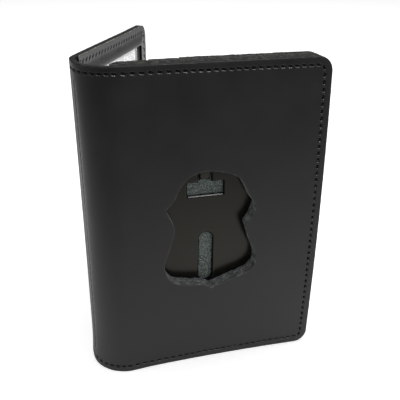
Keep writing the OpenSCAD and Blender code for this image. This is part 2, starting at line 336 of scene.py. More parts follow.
# stitching along the top, the free edge and the bottom
seam = {
    "inset": 2.9, "rise": 0.5, "length": 0.8, "outerSlant": 0.12, "innerSlant": -0.6,
    "pit": 0.5, "pitWidth": 0.38, "pitEnd": 0.3, "hole": 0.45, "holeSize": 0.34,
    "lip": 0.04, "lipWidth": 0.25,
    "bandWidth": 1.25, "alongStep": 0.2, "acrossStep": 0.16,
    "besideBand": ((1.7, 0.6), (2.5, 1.3)),     # wider and wider rows lead over to the plain face
    "clear": 3.2, "bendClear": 0.4,
    "threadRadius": 0.3, "threadSink": 0.03, "innerSink": -0.12, "threadOver": 0.15, "threadDive": 0.4,
    "threadEnd": 0.8, "threadRings": 9, "threadSides": 8, "threadUv": 0.02,
    "front": {"turn": 20.0, "nearPitch": 2.98, "pitch": 2.64},
    "back": {"turn": 7.2, "nearPitch": 3.0, "pitch": 3.05},
    "onFold": (-8.1, -5.65, -3.2, -0.9), "onSpine": (-16.5, -13.55, -10.6),
}
seamArea = seam["inset"] + seam["clear"]        # the plain face starts this far from the edges
bendRadius = wallet["cornerRadius"] - seam["inset"]
seamRun = panel - wallet["cornerRadius"]
seamBend = bendRadius * math.pi / 2
seamHalf = seamRun + seamBend + height / 2 - wallet["cornerRadius"]


def seamSpot(along, across=0.0):
    # a point on the seam's upper half; across is positive towards the middle of the panel
    straightTop = height - wallet["cornerRadius"]
    if along < seamRun:
        rise = seam["rise"] * (1 - max(along, 0.0) / seamRun)
        return (along, height - seam["inset"] + rise - across)
    if along < seamRun + seamBend:
        angle = (along - seamRun) / bendRadius
        radius = bendRadius - across
        return (seamRun + radius * math.sin(angle), straightTop + radius * math.cos(angle))
    return (panel - seam["inset"] - across, straightTop - (along - seamRun - seamBend))


def stitchMiddles(row):
    # distances of the stitches' middles along the upper half, from the spine to mid-side
    turn = row["turn"]
    near = [turn - i * row["nearPitch"] for i in range(1, int((turn - 1) / row["nearPitch"]) + 1)]
    count = round((seamHalf - turn) / row["pitch"] - 0.5)
    pitch = (seamHalf - turn) / (count + 0.5)
    far = [turn + i * pitch for i in range(count + 1)]
    return sorted([*seam["onSpine"], *seam["onFold"], *near, *far])


frontMiddles = stitchMiddles(seam["front"])
backMiddles = stitchMiddles(seam["back"])


def seamDip(middles, along, across, slant):
    # depth of the pit that the nearest stitch lies in, with a hole at each of its ends and a lip beside it
    i = bisect_left(middles, along)
    near = min(middles[max(i - 1, 0):i + 1] or middles[-1:], key=lambda middle: abs(middle - along))
    away = along - near
    aside = across - away * slant
    half = seam["length"] / 2
    past = max(0.0, abs(away) - half) / seam["pitEnd"]
    dip = seam["pit"] * math.exp(-(aside / seam["pitWidth"]) ** 4 - past ** 2)
    hole = ((abs(away) - half) / seam["holeSize"]) ** 2 + (aside / seam["holeSize"]) ** 2
    dip += seam["hole"] * math.exp(-hole)
    lip = ((abs(aside) - 2 * seam["pitWidth"]) / seam["lipWidth"]) ** 2 + past ** 2
    return dip - seam["lip"] * math.exp(-lip)


def mirroredPoints(s, z, dip, step):
    # a point of the upper half, and its twin in the lower half
    points = [(s, z, dip)]
    if z - (height - z) > step:
        points.append((s, height - z, dip))
    return points


def seamBand(middles, start, end=seamHalf, slant=seam["outerSlant"]):
    # relief points on both halves of the seam, each (s, z, dip)
    band = []
    count = round((end - start) / seam["alongStep"])
    rows = round(seam["bandWidth"] / seam["acrossStep"])
    for i in range(count + 1):
        along = start + (end - start) * i / count
        for k in range(-rows, rows + 1):
            across = seam["bandWidth"] * k / rows
            dip = seamDip(middles, along, across, slant)
            band += mirroredPoints(*seamSpot(along, across), dip, seam["alongStep"])
    for across, step in seam["besideBand"]:
        count = round((end - start) / step)
        for i in range(count + 1):
            along = start + (end - start) * i / count
            atBend = seamRun < along < seamRun + seamBend
            if not (atBend and across > bendRadius - seam["bendClear"]):
                band += mirroredPoints(*seamSpot(along, across), 0.0, step)
    return band


def noShift(s, z):
    return 0.0


def threadLine(middle, mirrored, place, faceDepth, side, shift):
    # the middle line of one stitch, whose ends dive into the leather
    slant = seam["outerSlant"] if side > 0 else seam["innerSlant"]
    below = seam["threadSink"] if side > 0 else seam["innerSink"]
    half = seam["length"] / 2 + seam["threadOver"]
    rings = seam["threadRings"]
    centres = []
    for i in range(rings):
        away = half * (2 * i / (rings - 1) - 1)
        s, z = seamSpot(middle + away, away * slant)
        if mirrored:
            z = height - z
        sink = seam["threadRadius"] + below + seam["threadDive"] * abs(away / half) ** 3
        centres.append(place(s, z, faceDepth + side * sink + shift(s, z)))
    return centres


def threadRings(mesh, centres, outward):
    # a ring of vertices round each point of the line
    last = len(centres) - 1
    sides = seam["threadSides"]
    turns = [2 * math.pi * k / sides for k in range(sides)]
    shares = [(math.cos(turn), math.sin(turn)) for turn in turns]
    rings = []
    for i, centre in enumerate(centres):
        way = (centres[min(i + 1, last)] - centres[max(i - 1, 0)]).normalized()
        aside = way.cross(outward).normalized()
        up = aside.cross(way)
        radius = seam["threadRadius"] * (seam["threadEnd"] if i in (0, last) else 1.0) * mm
        rings.append([mesh.verts.new(centre + radius * (a * aside + b * up)) for a, b in shares])
    return rings


def addStitch(mesh, uvLayer, rings, middle):
    sides, size = seam["threadSides"], seam["threadUv"]
    for i in range(len(rings) - 1):
        for k in range(sides):
            n = (k + 1) % sides
            face = mesh.faces.new((rings[i][k], rings[i][n], rings[i + 1][n], rings[i + 1][k]))
            for corner, spot in zip(face.loops, ((i, k), (i, k + 1), (i + 1, k + 1), (i + 1, k))):
                corner[uvLayer].uv = (spot[0] / len(rings) * size + middle / uvSpan, spot[1] / sides * size)
    mesh.faces.new(rings[0][::-1])
    mesh.faces.new(rings[-1])


def threads(name, row, place, faceDepth, side, start, end, body, shift=noShift):
    # side is 1 where the seam is seen from the outer face and -1 where it is seen from inside
    mesh = bmesh.new()
    uvLayer = mesh.loops.layers.uv.new("plan")
    middles = [middle for middle in row if start < middle < end]
    for mirrored in (False, True):
        for middle in middles:
            s, z = seamSpot(middle)
            if mirrored:
                z = height - z
            outward = place(s, z, faceDepth) - place(s, z, faceDepth + side)
            outward.normalize()
            centres = threadLine(middle, mirrored, place, faceDepth, side, shift)
            addStitch(mesh, uvLayer, threadRings(mesh, centres, outward), middle)
    bmesh.ops.recalc_face_normals(mesh, faces=mesh.faces)
    return finishPiece(mesh, name, [threadMaterial], body)


# One layer of the wallet is a closed sheet with rounded, uneven cut edges. A row of its edge's profile is
# (inset, depth, kind), where kind 0 is the outer face, 1 the cut edge and 2 the inner face.
sheet = {
    "support": 0.3, "turns": (0, 30, 60, 90), "mostRounding": 0.45, "sharpCorner": 0.3, "longestInset": 1.6,
    "coarse": (0.35, 2.2), "fine": (1.3, 4.0), "fineSeed": 9,     # the cut's unevenness, along and across
    "wearOnCut": 1.0, "wearOnFace": 0.35, "uvRow": 3,
    "cell": 0.2, "thinnest": 1e-5, "weld": 1e-7,
}


def loopInsets(loop, flatEnd):
    insets = []
    for i, spot in enumerate(loop):
        before = (Vector(spot) - Vector(loop[i - 1])).normalized()
        after = (Vector(loop[(i + 1) % len(loop)]) - Vector(spot)).normalized()
        way = before + after
        if way.length < tiny:
            way = after
        way.normalize()
        normal = Vector((-way.y, way.x))
        normal *= min(sheet["longestInset"], 1 / max(sheet["sharpCorner"], way.dot(after)))
        if flatEnd is not None and abs(spot[0] - flatEnd) < tiny:
            atCorner = min(abs(spot[1]), abs(spot[1] - height)) < tiny
            normal = Vector((0, math.copysign(1, normal.y))) if atCorner else Vector((0, 0))
        insets.append(normal)
    return insets


def edgeRows(thickness, rounding, rows):
    profile = [(rounding + sheet["support"], 0.0, 0)]
    for turn in sheet["turns"]:
        angle = math.radians(turn)
        profile.append((rounding * (1 - math.sin(angle)), rounding * (1 - math.cos(angle)), 1))
    inner = [(inset, thickness - depth, 1) for inset, depth, kind in reversed(profile[1:])]
    for i in range(1, rows):
        profile.append((0.0, rounding + (thickness - 2 * rounding) * i / rows, 1))
    return profile + inner + [(rounding + sheet["support"], thickness, 2)]


def bevelRows(thickness, bevel):
    # a flat bevel with a crisp start and end, then the straight cut
    width, lead = bevel["width"], bevel["lead"]
    fall = width * math.tan(math.radians(bevel["angle"]))
    profile = [(width + sheet["support"], 0.0, 0), (width, 0.0, 1), (width * (1 - lead), fall * lead, 1)]
    profile += [(width * lead, fall * (1 - lead), 1), (0.0, fall, 1)]
    profile += [(0.0, fall + (thickness - fall) * share, 1) for share in bevel["cutRows"]]
    return profile + [(sheet["support"], thickness, 2)]


def raggedness(spot, depth, look):
    # how far the cut edge wanders in or out
    ragged = 0.0
    for (along, across), seed in ((sheet["coarse"], 0.0), (sheet["fine"], sheet["fineSeed"])):
        cut = Vector((spot[0] * along, spot[1] * along, depth * across + look["seed"] + seed))
        ragged += look["rough"] * noise.noise(cut)
    return ragged


def addRings(mesh, loop, profile, toVertex, look, flatEnd):
    # a ring round the loop for each row of the profile, as (vertex, s, z)
    wearLayer = mesh.verts.layers.float["edgeWear"]
    insets = loopInsets(loop, flatEnd)
    rings = []
    for inset, depth, kind in profile:
        ring = []
        for spot, normal in zip(loop, insets):
            ragged = raggedness(spot, depth, look) if kind == 1 and normal.length > 0 else 0.0
            s = spot[0] + normal.x * (inset + ragged)
            z = spot[1] + normal.y * (inset + ragged)
            vertex = mesh.verts.new(toVertex(s, z, depth))
            vertex[wearLayer] = sheet["wearOnCut"] if kind == 1 else sheet["wearOnFace"]
            ring.append((vertex, s, z))
        rings.append(ring)
    return rings


def addEdgeFaces(mesh, loop, profile, rings, cutIndex):
    # the faces between the rings; the rows next to a face belong to that face
    uvLayer = mesh.loops.layers.uv["plan"]
    lengths = [0.0]
    for i, spot in enumerate(loop):
        lengths.append(lengths[-1] + math.dist(spot, loop[(i + 1) % len(loop)]))
    for k in range(len(profile) - 1):
        onOuter, onInner = profile[k][2] == 0, profile[k + 1][2] == 2
        rise = (profile[k][1], profile[k][1], profile[k + 1][1], profile[k + 1][1])
        for i in range(len(loop)):
            n = (i + 1) % len(loop)
            corners = (rings[k][i], rings[k][n], rings[k + 1][n], rings[k + 1][i])
            face = mesh.faces.new([vertex for vertex, s, z in corners])
            face.material_index = 0 if onOuter else 2 if onInner else cutIndex
            spread = (lengths[i], lengths[i + 1], lengths[i + 1], lengths[i])
            for c, corner in enumerate(face.loops):
                if onOuter or onInner:
                    corner[uvLayer].uv = (corners[c][1] / uvSpan, corners[c][2] / uvSpan)
                else:
                    corner[uvLayer].uv = (spread[c] / uvSpan, sheet["uvRow"] + rise[c] / uvSpan)


def sheetPiece(name, loops, depths, place, materials, body, look,
               outerPoints=(), innerPoints=(), flatEnd=None, shift=noShift, holeRows=None):
    # look holds the cut edge's rounding, rows, rough and seed; loops after the first are holes
    mesh = bmesh.new()
    mesh.loops.layers.uv.new("plan")
    mesh.verts.layers.float.new("edgeWear")
    thickness = depths[1] - depths[0]
    edgeProfile = edgeRows(thickness, min(look["rounding"], thickness * sheet["mostRounding"]), look["rows"])

    def toVertex(s, z, depth):
        return place(s, z, depths[0] + depth + shift(s, z))

    ringSets = []
    for order, loop in enumerate(loops):
        profile = holeRows if order > 0 and holeRows else edgeProfile
        rings = addRings(mesh, loop, profile, toVertex, look, flatEnd)
        addEdgeFaces(mesh, loop, profile, rings, 3 if order > 0 and len(materials) > 3 else 1)
        ringSets.append(rings)
    fillFace(mesh, [rings[0] for rings in ringSets], outerPoints, toVertex, 0)
    fillFace(mesh, [rings[-1] for rings in ringSets], innerPoints,
             lambda s, z, dip: toVertex(s, z, thickness - dip), 2)
    bmesh.ops.remove_doubles(mesh, verts=mesh.verts, dist=sheet["weld"])
    bmesh.ops.recalc_face_normals(mesh, faces=mesh.faces)
    return finishPiece(mesh, name, materials, body)


def insideLoop(spot, loop):
    inside = False
    for i, (s, z) in enumerate(loop):
        previous = loop[i - 1]
        if (z > spot.y) != (previous[1] > spot.y):
            crossing = s + (spot.y - z) * (previous[0] - s) / (previous[1] - z)
            if spot.x < crossing:
                inside = not inside
    return inside


def cellOf(s, z):
    return (round(s / sheet["cell"]), round(z / sheet["cell"]))


def plannedSpots(rings, points):
    # the rings' spots with their edges, then the points that don't lie too near to another
    spots, sources, edges, taken = [], [], [], set()
    for ring in rings:
        first = len(spots)
        for i, (vertex, s, z) in enumerate(ring):
            spots.append(Vector((s, z)))
            sources.append(vertex)
            edges.append((first + i, first + (i + 1) % len(ring)))
            column, row = cellOf(s, z)
            taken.update((column + ds, row + dz) for ds in (-1, 0, 1) for dz in (-1, 0, 1))
    for s, z, dip in points:
        if cellOf(s, z) not in taken:
            taken.add(cellOf(s, z))
            spots.append(Vector((s, z)))
            sources.append(dip)
    return spots, sources, edges


def holeSpans(rings):
    # each hole's loop, with the span of its columns and of its rows
    holes = []
    for ring in rings:
        hole = [(s, z) for vertex, s, z in ring]
        columns, rows = zip(*hole)
        holes.append((hole, (min(columns), max(columns)), (min(rows), max(rows))))
    return holes


def inHole(spot, holes):
    for hole, columns, rows in holes:
        near = columns[0] < spot.x < columns[1] and rows[0] < spot.y < rows[1]
        if near and insideLoop(spot, hole):
            return True
    return False


def fillFace(mesh, rings, points, toVertex, materialIndex):
    # triangles over the whole face, through the relief points, with the holes left open
    uvLayer = mesh.loops.layers.uv["plan"]
    spots, sources, edges = plannedSpots(rings, points)
    planned = delaunay_2d_cdt(spots, edges, [], 0, sheet["thinnest"], True)
    outSpots, faces, origins = planned[0], planned[2], planned[3]
    holes = holeSpans(rings[1:])
    made = {}
    for face in faces:
        first, second, third = (outSpots[index] for index in face[:3])
        if inHole(sum((outSpots[index] for index in face), Vector((0, 0))) / len(face), holes):
            continue
        if abs((second - first).cross(third - first)) < sheet["thinnest"]:
            continue
        for index in face:
            if index not in made:
                made[index] = sources[min(origins[index])] if origins[index] else 0.0
            if isinstance(made[index], float):
                dip = made[index]
                made[index] = mesh.verts.new(toVertex(outSpots[index].x, outSpots[index].y, dip))
        corners = [made[index] for index in face]
        if len(set(corners)) == len(corners):
            triangle = mesh.faces.new(corners)
            triangle.material_index = materialIndex
            for corner, index in zip(triangle.loops, face):
                corner[uvLayer].uv = (outSpots[index].x / uvSpan, outSpots[index].y / uvSpan)


def gridPoints(s0, s1, z0, z1, sStep, zStep, dip=noShift):
    points = []
    columns = max(1, round((s1 - s0) / sStep))
    rows = max(1, round((z1 - z0) / zStep))
    for i in range(columns + 1):
        for k in range(rows + 1):
            s = s0 + (s1 - s0) * i / columns
            z = z0 + (z1 - z0) * k / rows
            points.append((s, z, float(dip(s, z))))
    return points


def finishPiece(mesh, name, materials, body):
    data = bpy.data.meshes.new(name)
    mesh.to_mesh(data)
    mesh.free()
    data.polygons.foreach_set("use_smooth", [True] * len(data.polygons))
    piece = bpy.data.objects.new(name, data)
    bpy.context.scene.collection.objects.link(piece)
    for material in materials:
        data.materials.append(material)
    if body:
        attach(piece, body)
    return piece


# shader groups that several materials share


def startGroup(name, inputs, outputs):
    group = bpy.data.node_groups.new(name, "ShaderNodeTree")
    for socket, kind, value in inputs:
        made = group.interface.new_socket(name=socket, in_out="INPUT", socket_type=kind)
        if value is not None:
            made.default_value = value
    for socket, kind in outputs:
        group.interface.new_socket(name=socket, in_out="OUTPUT", socket_type=kind)
    return group, group.nodes.new("NodeGroupInput"), group.nodes.new("NodeGroupOutput")


def addNode(tree, kind, values=None, **settings):
    node = tree.nodes.new(kind)
    for key, value in settings.items():
        setattr(node, key, value)
    for key, value in (values or {}).items():
        node.inputs[key].default_value = value
    return node


def wire(tree, *pairs):
    for source, target in pairs:
        tree.links.new(source, target)


def mathNode(tree, operation, first, second=0.5, third=None):
    node = addNode(tree, "ShaderNodeMath", operation=operation)
    for i, value in enumerate((first, second, third)):
        if value is None:
            continue
        if isinstance(value, (int, float)):
            node.inputs[i].default_value = value
        else:
            tree.links.new(value, node.inputs[i])
    return node.outputs[0]


floatKind = "NodeSocketFloat"
vectorKind = "NodeSocketVector"


def makeGrainGroup():
    # fine pores, soft creases and long streaks of finished leather
    group, entry, leave = startGroup(
        "leatherGrain",
        [("Vector", vectorKind, None), ("Pore Scale", floatKind, 260.0), ("Crease Scale", floatKind, 60.0),
         ("Streak", floatKind, 0.5)],
        [("Height", floatKind), ("Tone", floatKind), ("Streaks", floatKind)])
    pores = addNode(group, "ShaderNodeTexVoronoi", feature="SMOOTH_F1")
    pores.inputs["Smoothness"].default_value = 0.6
    creases = addNode(group, "ShaderNodeTexNoise", {"Detail": 6.0, "Roughness": 0.62, "Distortion": 0.4})
    tone = addNode(group, "ShaderNodeTexNoise", {"Scale": 7.0, "Detail": 4.0, "Roughness": 0.55})
    stretch = addNode(group, "ShaderNodeMapping", {"Scale": (60.0, 3.5, 1.0)})
    streaks = addNode(group, "ShaderNodeTexNoise", {"Scale": 1.0, "Detail": 3.0, "Roughness": 0.5})
    for target in (pores, creases, tone, stretch):
        wire(group, (entry.outputs["Vector"], target.inputs["Vector"]))
    wire(group, (entry.outputs["Pore Scale"], pores.inputs["Scale"]),
         (entry.outputs["Crease Scale"], creases.inputs["Scale"]),
         (stretch.outputs["Vector"], streaks.inputs["Vector"]))
    heightSum = mathNode(group, "MULTIPLY_ADD", pores.outputs["Distance"], 0.5, creases.outputs["Fac"])
    streakPart = mathNode(group, "MULTIPLY", streaks.outputs["Fac"], entry.outputs["Streak"])
    wire(group, (heightSum, leave.inputs["Height"]), (tone.outputs["Fac"], leave.inputs["Tone"]),
         (streakPart, leave.inputs["Streaks"]))
    return group


def makeFibreGroup():
    # fibres that run along a cut edge, with thin layers through its thickness
    group, entry, leave = startGroup(
        "cutFibres",
        [("Vector", vectorKind, None), ("Layers", floatKind, 90.0), ("Fray", floatKind, 1.0)],
        [("Height", floatKind), ("Layering", floatKind), ("Flecks", floatKind)])
    along = addNode(group, "ShaderNodeMapping", {"Scale": (45.0, 1.0, 1.0)})
    spread = addNode(group, "ShaderNodeSeparateXYZ")
    joined = addNode(group, "ShaderNodeCombineXYZ")
    layers = addNode(group, "ShaderNodeTexNoise", {"Scale": 1.0, "Detail": 4.0, "Roughness": 0.6})
    flecks = addNode(group, "ShaderNodeTexNoise", {"Scale": 170.0, "Detail": 3.0, "Roughness": 0.7})
    wire(group, (entry.outputs["Vector"], along.inputs["Vector"]),
         (along.outputs["Vector"], spread.inputs[0]))
    across = mathNode(group, "MULTIPLY", spread.outputs["Y"], entry.outputs["Layers"])
    wire(group, (spread.outputs["X"], joined.inputs["X"]), (across, joined.inputs["Y"]),
         (joined.outputs[0], layers.inputs["Vector"]), (entry.outputs["Vector"], flecks.inputs["Vector"]))
    frayed = mathNode(group, "MULTIPLY", flecks.outputs["Fac"], entry.outputs["Fray"])
    total = mathNode(group, "ADD", layers.outputs["Fac"], frayed)
    wire(group, (total, leave.inputs["Height"]), (layers.outputs["Fac"], leave.inputs["Layering"]),
         (flecks.outputs["Fac"], leave.inputs["Flecks"]))
    return group


def makeDustGroup():
    # a few pale specks
    group, entry, leave = startGroup(
        "dustSpecks",
        [("Vector", vectorKind, None), ("Scale", floatKind, 30.0), ("Size", floatKind, 0.06),
         ("Bare", floatKind, 0.98)],
        [("Mask", floatKind)])
    cells = addNode(group, "ShaderNodeTexVoronoi", {"Randomness": 1.0})
    wire(group, (entry.outputs["Vector"], cells.inputs["Vector"]),
         (entry.outputs["Scale"], cells.inputs["Scale"]))
    near = mathNode(group, "LESS_THAN", cells.outputs["Distance"], entry.outputs["Size"])
    rarely = addNode(group, "ShaderNodeSeparateColor")
    wire(group, (cells.outputs["Color"], rarely.inputs[0]))
    some = mathNode(group, "GREATER_THAN", rarely.outputs[0], entry.outputs["Bare"])
    wire(group, (mathNode(group, "MULTIPLY", near, some), leave.inputs["Mask"]))
    return group


def makeWeaveGroup():
    # plain weave of thin cloth
    group, entry, leave = startGroup(
        "plainWeave", [("Vector", vectorKind, None), ("Threads", floatKind, 300.0)], [("Height", floatKind)])
    warp = addNode(group, "ShaderNodeTexWave", bands_direction="X")
    weft = addNode(group, "ShaderNodeTexWave", bands_direction="Y")
    for wave in (warp, weft):
        wire(group, (entry.outputs["Vector"], wave.inputs["Vector"]),
             (entry.outputs["Threads"], wave.inputs["Scale"]))
    crossed = mathNode(group, "MULTIPLY", warp.outputs["Fac"], weft.outputs["Fac"])
    wire(group, (crossed, leave.inputs["Height"]))
    return group


grainGroup = makeGrainGroup()
fibreGroup = makeFibreGroup()
dustGroup = makeDustGroup()
weaveGroup = makeWeaveGroup()
print("shader groups made:", len(bpy.data.node_groups))


# materials, each with its own finish


def startMaterial(name, values):
    material = bpy.data.materials.new(name)
    material.use_nodes = True
    tree = material.node_tree
    surface = tree.nodes["Principled BSDF"]
    for key, value in values.items():
        surface.inputs[key].default_value = value
    plan = addNode(tree, "ShaderNodeUVMap", uv_map="plan")
    return material, tree, surface, plan.outputs["UV"]


def placeGroup(tree, group, vector, values):
    node = addNode(tree, "ShaderNodeGroup", node_tree=group)
    for key, value in values.items():
        node.inputs[key].default_value = value
    wire(tree, (vector, node.inputs["Vector"]))
    return node


def rampNode(tree, factor, stops):
    ramp = addNode(tree, "ShaderNodeValToRGB")
    while len(ramp.color_ramp.elements) < len(stops):
        ramp.color_ramp.elements.new(0.5)
    for element, (position, colour) in zip(ramp.color_ramp.elements, stops):
        element.position = position
        element.color = (*colour, 1)
    wire(tree, (factor, ramp.inputs["Fac"]))
    return ramp.outputs["Color"]


def rangeNode(tree, factor, low, high, fromLow=0.0, fromHigh=1.0):
    node = addNode(tree, "ShaderNodeMapRange", {
        "From Min": fromLow, "From Max": fromHigh, "To Min": low, "To Max": high})
    wire(tree, (factor, node.inputs["Value"]))
    return node.outputs["Result"]


def bumpNode(tree, surface, heightValue, distance, strength=1.0):
    bump = addNode(tree, "ShaderNodeBump", {"Strength": strength, "Distance": distance})
    wire(tree, (heightValue, bump.inputs["Height"]), (bump.outputs["Normal"], surface.inputs["Normal"]))


dust = {"scale": 26.0, "colour": (0.16, 0.16, 0.155), "share": 0.35}
streakRoughness = 0.06


def leatherMaterial(name, finish):
    material, tree, surface, plan = startMaterial(name, {
        "Specular IOR Level": finish["specular"], "Specular Tint": (*finish["sheen"], 1)})
    grain = placeGroup(tree, grainGroup, plan, {
        "Pore Scale": finish["poreScale"], "Crease Scale": finish["creaseScale"], "Streak": finish["streak"]})
    specks = placeGroup(tree, dustGroup, plan, {"Scale": dust["scale"], "Size": finish["dustSize"]})
    wear = addNode(tree, "ShaderNodeAttribute", attribute_name="edgeWear")
    colour = rampNode(tree, grain.outputs["Tone"], [(0.3, finish["dark"]), (0.7, finish["light"])])
    worn = addNode(tree, "ShaderNodeMix", data_type="RGBA")
    worn.inputs["B"].default_value = (*finish["wornColour"], 1)
    wire(tree, (mathNode(tree, "MULTIPLY", wear.outputs["Fac"], finish["wear"]), worn.inputs["Factor"]),
         (colour, worn.inputs["A"]))
    dusty = addNode(tree, "ShaderNodeMix", data_type="RGBA")
    dusty.inputs["B"].default_value = (*dust["colour"], 1)
    wire(tree, (mathNode(tree, "MULTIPLY", specks.outputs["Mask"], dust["share"]), dusty.inputs["Factor"]),
         (worn.outputs["Result"], dusty.inputs["A"]), (dusty.outputs["Result"], surface.inputs["Base Color"]))
    rough = rangeNode(tree, grain.outputs["Tone"], finish["smooth"], finish["rough"], 0.3, 0.7)
    rough = mathNode(tree, "MULTIPLY_ADD", grain.outputs["Streaks"], streakRoughness, rough)
    wire(tree, (rough, surface.inputs["Roughness"]))
    bumpNode(tree, surface, grain.outputs["Height"], finish["bump"])
    return material


coverFinish = {
    "poreScale": 330.0, "creaseScale": 75.0, "streak": 1.0, "dustSize": 0.045,
    "dark": (0.0065, 0.0065, 0.0065), "light": (0.0095, 0.0095, 0.0095), "specular": 0.6, "sheen": (1, 1, 1),
    "wornColour": (0.02, 0.02, 0.02), "wear": 0.5, "smooth": 0.39, "rough": 0.46, "bump": 0.00003,
}


def makeCoverLeather():
    return leatherMaterial("blackCoverLeather", coverFinish)


backingFinish = {
    "poreScale": 300.0, "creaseScale": 90.0, "streak": 0.6, "dustSize": 0.02,
    "dark": (0.0018, 0.0012, 0.0005), "light": (0.003, 0.0022, 0.0012), "specular": 0.52,
    "sheen": (1, 0.98, 0.88),
    "wornColour": (0.012, 0.011, 0.01), "wear": 0.4, "smooth": 0.19, "rough": 0.24, "bump": 0.00002,
}


def makeBackingLeather():
    return leatherMaterial("brownBlackBackingLeather", backingFinish)


pocketFinish = {
    "poreScale": 300.0, "creaseScale": 80.0, "streak": 0.6, "dustSize": 0.012,
    "dark": (0.009, 0.009, 0.009), "light": (0.014, 0.014, 0.014), "specular": 0.6, "sheen": (1, 1, 1),
    "wornColour": (0.035, 0.035, 0.034), "wear": 0.5, "smooth": 0.22, "rough": 0.29, "bump": 0.00003,
}


def makePocketLeather():
    return leatherMaterial("blackPocketLeather", pocketFinish)


frameFinish = {
    "poreScale": 300.0, "creaseScale": 80.0, "streak": 0.6, "dustSize": 0.012,
    "dark": (0.028, 0.028, 0.0275), "light": (0.042, 0.042, 0.041), "specular": 0.6, "sheen": (1, 1, 1),
    "wornColour": (0.06, 0.06, 0.058), "wear": 0.5, "smooth": 0.24, "rough": 0.31, "bump": 0.00003,
}


def makeFrameLeather():
    return leatherMaterial("greyBlackFrameLeather", frameFinish)


fleshFinish = {
    "poreScale": 160.0, "creaseScale": 160.0, "streak": 0.3, "dustSize": 0.012,
    "dark": (0.004, 0.004, 0.0038), "light": (0.009, 0.0088, 0.0082), "specular": 0.3, "sheen": (1, 1, 1),
    "wornColour": (0.015, 0.015, 0.014), "wear": 0.3, "smooth": 0.7, "rough": 0.85, "bump": 0.00006,
}


def makeFleshSide():
    return leatherMaterial("blackFleshSide", fleshFinish)


def edgeMaterial(name, finish):
    # a cut edge: layers that run along it, with flecks
    material, tree, surface, plan = startMaterial(name, {"Specular IOR Level": finish["specular"]})
    fibres = placeGroup(tree, fibreGroup, plan, {"Layers": finish["layers"], "Fray": finish["fray"]})
    tone = mathNode(tree, "MULTIPLY_ADD", fibres.outputs["Flecks"], finish["fleckShare"],
                    fibres.outputs["Layering"])
    whole = 1 + finish["fleckShare"]
    low = (0.5 - finish["spread"]) * whole
    high = (0.5 + finish["spread"]) * whole
    colour = rampNode(tree, rangeNode(tree, tone, 0, 1, low, high),
                      [(0.0, finish["dark"]), (0.5, finish["middle"]), (1.0, finish["light"])])
    wire(tree, (colour, surface.inputs["Base Color"]),
         (rangeNode(tree, fibres.outputs["Flecks"], finish["smooth"], finish["rough"], 0.3, 0.7),
          surface.inputs["Roughness"]))
    bumpNode(tree, surface, fibres.outputs["Height"], finish["bump"])
    return material


dyedEdgeFinish = {
    "layers": 60.0, "fray": 0.6, "fleckShare": 0.4, "spread": 0.13, "dark": (0.005, 0.005, 0.005),
    "middle": (0.014, 0.014, 0.0135), "light": (0.05, 0.05, 0.047),
    "smooth": 0.38, "rough": 0.6, "bump": 0.00012, "specular": 0.25,
}


def makeDyedEdge():
    return edgeMaterial("dyedLeatherEdge", dyedEdgeFinish)


glossyEdgeFinish = {
    "layers": 40.0, "fray": 0.6, "fleckShare": 0.5, "spread": 0.13, "dark": (0.001, 0.001, 0.001),
    "middle": (0.002, 0.002, 0.002), "light": (0.004, 0.004, 0.004),
    "smooth": 0.17, "rough": 0.3, "bump": 0.00009, "specular": 0.13,
}


def makeGlossyEdge():
    return edgeMaterial("burnishedEdge", glossyEdgeFinish)


cutEdgeFinish = {
    "layers": 60.0, "fray": 0.9, "fleckShare": 0.7, "spread": 0.12, "dark": (0.03, 0.032, 0.032),
    "middle": (0.078, 0.083, 0.083), "light": (0.245, 0.258, 0.258),
    "smooth": 0.55, "rough": 0.8, "bump": 0.0002, "specular": 0.4,
}


def makeCutEdge():
    return edgeMaterial("rawCutOutEdge", cutEdgeFinish)


boardOuterEdgeFinish = {
    "layers": 85.0, "fray": 1.0, "fleckShare": 0.8, "spread": 0.09, "dark": (0.002, 0.002, 0.0017),
    "middle": (0.0105, 0.0107, 0.0088), "light": (0.105, 0.106, 0.087),
    "smooth": 0.55, "rough": 0.8, "bump": 0.00025, "specular": 0.3,
}


def makeBoardOuterEdge():
    return edgeMaterial("darkFibreEdge", boardOuterEdgeFinish)


boardEdgeFinish = {
    "layers": 110.0, "fray": 1.2, "fleckShare": 1.0, "spread": 0.12, "dark": (0.036, 0.039, 0.04),
    "middle": (0.1, 0.108, 0.11), "light": (0.32, 0.342, 0.346),
    "smooth": 0.6, "rough": 0.85, "bump": 0.0003, "specular": 0.4,
}


def makeBoardEdge():
    return edgeMaterial("greyFibreEdge", boardEdgeFinish)


rawEdgeFinish = {
    "layers": 70.0, "fray": 0.8, "fleckShare": 0.7, "spread": 0.09, "dark": (0.003, 0.003, 0.0025),
    "middle": (0.012, 0.0122, 0.0103), "light": (0.105, 0.106, 0.088),
    "smooth": 0.5, "rough": 0.75, "bump": 0.0002, "specular": 0.3,
}


def makeRawEdge():
    return edgeMaterial("rawLeatherEdge", rawEdgeFinish)


paleEdgeFinish = {
    "layers": 50.0, "fray": 0.9, "fleckShare": 0.7, "spread": 0.13, "dark": (0.07, 0.073, 0.06),
    "middle": (0.2, 0.205, 0.18), "light": (0.42, 0.43, 0.39),
    "smooth": 0.55, "rough": 0.8, "bump": 0.0002, "specular": 0.4,
}


def makePaleEdge():
    return edgeMaterial("paleRawEdge", paleEdgeFinish)


feltEdgeFinish = {
    "layers": 60.0, "fray": 1.0, "fleckShare": 0.8, "spread": 0.13, "dark": (0.02, 0.022, 0.018),
    "middle": (0.07, 0.075, 0.063), "light": (0.2, 0.21, 0.185),
    "smooth": 0.8, "rough": 0.95, "bump": 0.0002, "specular": 0.3,
}


def makeFeltEdge():
    return edgeMaterial("pressedFeltEdge", feltEdgeFinish)


